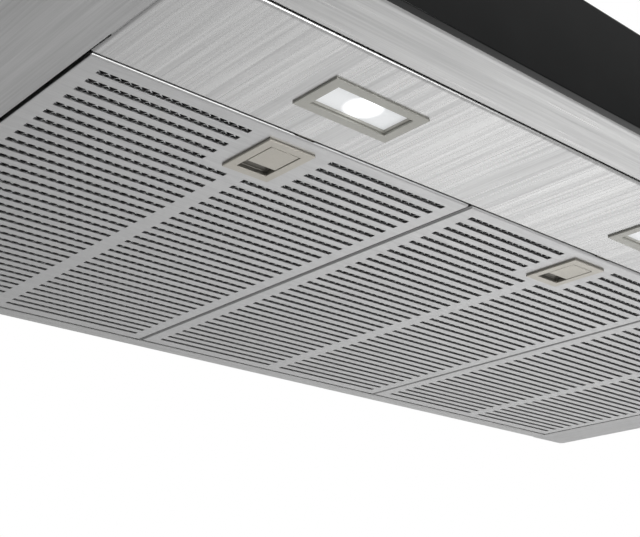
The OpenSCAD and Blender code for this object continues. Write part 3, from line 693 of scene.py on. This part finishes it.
def stepped_bezel(number):
    """A bezel with a narrow step inside its opening, which the lens sits against."""
    low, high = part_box(f"lamp_lens_{number}")
    lip_low = [low[k] - LIP_OVERLAP for k in (0, 1)]
    lip_high = [high[k] + LIP_OVERLAP for k in (0, 1)]
    lip = flat_sheet("lens-lip", lip_low, lip_high, LIP_Z[0])
    hollow_out(lip, LIP_WIDTH)
    thicken(lip, LIP_Z[1] - LIP_Z[0])
    bezel = joined([drawn_copy(f"lamp_bezel_{number}"), lip])
    ease_edges(bezel, BEZEL_EASE, 3)
    place(bezel, f"lamp_bezel_{number}", bezel_paint)


for number in FILTERS:
    stepped_bezel(number)
    eased(f"lamp_lens_{number}", lit_lens(f"lamp_lens_{number}"), width=LENS_EASE, segments=3)
    eased(f"lamp_module_{number}", heat_sink, width=MODULE_EASE, segments=1)


# ---- Black glass front and controls ----
# A pane of back-painted glass covers the upright front; five round bright push buttons stand in
# holes through it, each over a small switch on the board behind.

BUTTONS = (1, 2, 3, 4, 5)
GLASS_EASE = 0.0006
BUTTON_EASE = 0.0005

black_glass = moulded("back-painted black glass", (0.006, 0.0065, 0.0065), (0.008, 0.0085, 0.0085),
                      0.07, grain=60, bump=0.01)
black_glass.node_tree.nodes["Principled BSDF"].inputs["Specular IOR Level"].default_value = 0.15
button_steel = brushed_metal("turned bright steel", (0.58, 0.58, 0.59), (0.76, 0.76, 0.77),
                             (600, 60, 600), 0.22)
board_green = moulded("green circuit board", (0.02, 0.10, 0.05), (0.03, 0.14, 0.07), 0.4)
eased("glass_fascia", black_glass, width=GLASS_EASE, segments=3)
for number in BUTTONS:
    eased(f"button_{number}", button_steel, width=BUTTON_EASE, segments=3)
eased("switch_board", board_green)


# ---- Fan, duct and electrical parts ----
# Galvanised scrolls, wheels and duct collar, a dark enamelled motor with a copper winding, and
# white or black moulded electrical parts, all out of sight above the filters.

enamel = moulded("dark motor enamel", (0.035, 0.035, 0.04), (0.06, 0.06, 0.065), 0.35, coat=0.2)
copper = brushed_metal("varnished copper wire", (0.38, 0.16, 0.07), (0.55, 0.27, 0.12),
                       (900, 40, 900), 0.35)
white_plastic = moulded("white moulding", (0.72, 0.72, 0.70), (0.82, 0.82, 0.80), 0.4)
cable_black = moulded("black cable jacket", (0.015, 0.015, 0.015), (0.03, 0.03, 0.03), 0.5)
FINISHES = {
    "galvanised_steel": galvanised,
    "motor_enamel": enamel,
    "copper_winding": copper,
    "white_plastic": white_plastic,
    "cable_jacket": cable_black,
    "spring_steel": spring_steel,
}
FINISHED_ABOVE = ("filter_", "latch_", "hook_", "divider_")
for part in frame["record"]["subparts"]:
    node, slot = part["node"], part["material_slot"]
    if slot in FINISHES and not node.startswith(FINISHED_ABOVE):
        dress(frame["nodes"][node], FINISHES[slot])


# ---- Studio ----
# A pale floor under the hood, a surround that is white behind and above it and greyer in front, a
# soft box over the floor and a low one in front, with the camera below and to the front left.

FLOOR_SIZE = 24
FLOOR_Z = -1.15
FLOOR_GRAIN = 40

leave_edit()
bpy.ops.mesh.primitive_plane_add(size=FLOOR_SIZE, location=(0, 0, FLOOR_Z))
floor = bpy.context.view_layer.objects.active
floor.name = "floor"
bpy.ops.object.transform_apply(location=True, rotation=True, scale=True)
floor_paint = moulded("pale floor", (0.53, 0.53, 0.53), (0.57, 0.57, 0.57), 0.75, grain=FLOOR_GRAIN)
dress(floor, floor_paint)

TOWARDS_WHITE = (0.66, 0.75, 0.0)
WHITE_FADE = (0.2, 0.75)
OVERHEAD_FADE = (0.45, 0.8)
GREY_SIDE = 0.25

world = bpy.data.worlds.new("graded surround")
world.use_nodes = True
surround = world.node_tree
facing = surround.nodes.new("ShaderNodeVectorMath")
facing.operation = "DOT_PRODUCT"
facing.inputs[1].default_value = TOWARDS_WHITE
direction = surround.nodes.new("ShaderNodeTexCoord").outputs["Generated"]
surround.links.new(direction, facing.inputs[0])
height = surround.nodes.new("ShaderNodeSeparateXYZ")
surround.links.new(direction, height.inputs["Vector"])
brighter = surround.nodes.new("ShaderNodeMath")
brighter.operation = "MAXIMUM"
behind = spread(surround, facing.outputs["Value"], GREY_SIDE, 1.0, *WHITE_FADE)
overhead = spread(surround, height.outputs["Z"], GREY_SIDE, 1.0, *OVERHEAD_FADE)
surround.links.new(behind, brighter.inputs[0])
surround.links.new(overhead, brighter.inputs[1])
surround.links.new(brighter.outputs["Value"], surround.nodes["Background"].inputs["Strength"])
surround.nodes["Background"].inputs["Color"].default_value = (1, 1, 1, 1)
bpy.context.scene.world = world


def soft_box(name, place_at, aim_at, size, power):
    """A rectangular light at one point, aimed at another; its power is in watts."""
    light = bpy.data.lights.new(name, "AREA")
    light.shape = "RECTANGLE"
    light.energy = power
    light.size, light.size_y = size
    obj = bpy.data.objects.new(name, light)
    bpy.context.scene.collection.objects.link(obj)
    obj.location = place_at
    obj.rotation_mode = "QUATERNION"
    obj.rotation_quaternion = (Vector(aim_at) - Vector(place_at)).to_track_quat("-Z", "Y")


soft_box("floor soft box", (1.6, 0.9, 0.1), (1.6, 0.91, FLOOR_Z), (1.0, 1.0), 36)
soft_box("front soft box", (0.6, -1.9, -0.9), (-0.3, -0.13, -0.18), (0.85, 0.5), 11)

CAMERA_AT = (-0.6383, -0.5571, -0.4685)
SENSOR_MM = 36
LENS_MM = 65.22
PITCH = math.radians(20.795)
YAW = math.radians(41.592)
camera_data = bpy.data.cameras.new("camera")
camera_data.lens = LENS_MM
camera_data.sensor_width = SENSOR_MM
camera = bpy.data.objects.new("camera", camera_data)
bpy.context.scene.collection.objects.link(camera)
camera.location = CAMERA_AT
forward = Vector((math.sin(YAW) * math.cos(PITCH), math.cos(YAW) * math.cos(PITCH), math.sin(PITCH)))
camera.rotation_mode = "QUATERNION"
camera.rotation_quaternion = forward.to_track_quat("-Z", "Y")
bpy.context.scene.camera = camera
bpy.context.scene.view_settings.view_transform = "Standard"
